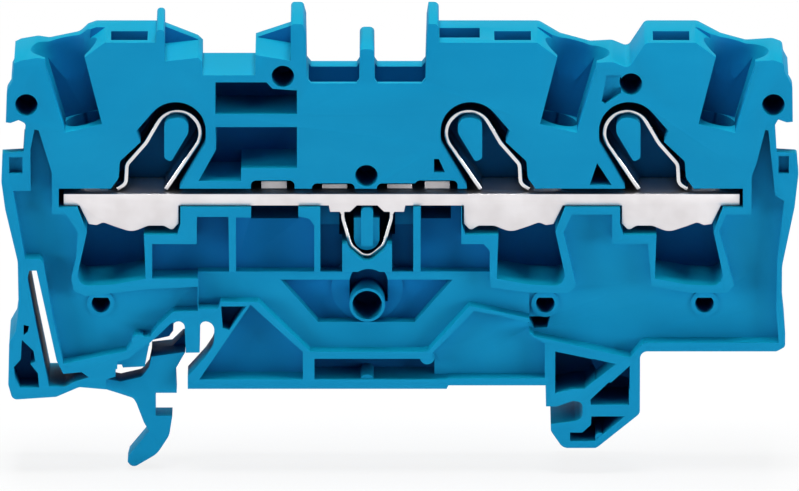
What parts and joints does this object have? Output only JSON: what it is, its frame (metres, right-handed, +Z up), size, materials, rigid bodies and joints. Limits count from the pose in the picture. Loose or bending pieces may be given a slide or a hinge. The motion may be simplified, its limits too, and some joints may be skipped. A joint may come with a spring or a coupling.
{
  "type": "feed-through terminal block",
  "caption": "Slim rail-mounted feed-through terminal block, open on one side, with sprung conductor clamps on a common current bar and a springy rail foot.",
  "frame": {"origin": "middle of the rail's width, on the plane of the rail's upper edge, at mid-thickness of the moulding", "axes": "+X along the block towards the double clamp end, +Z up away from the rail, open side towards -Y"},
  "size_m": [0.0655, 0.0071, 0.0386],
  "materials": {
    "blue_polyamide": "satin moulded polyamide",
    "tinned_copper": "satin tin plating",
    "spring_steel": "bright rolled strip"
  },
  "bodies": {
    "root": {"housing": "blue_polyamide", "current_bar": "tinned_copper", "clamp_spring_left": "spring_steel", "clamp_spring_middle": "spring_steel", "clamp_spring_right": "spring_steel", "jumper_spring": "spring_steel"}
  },
  "joints": []
}
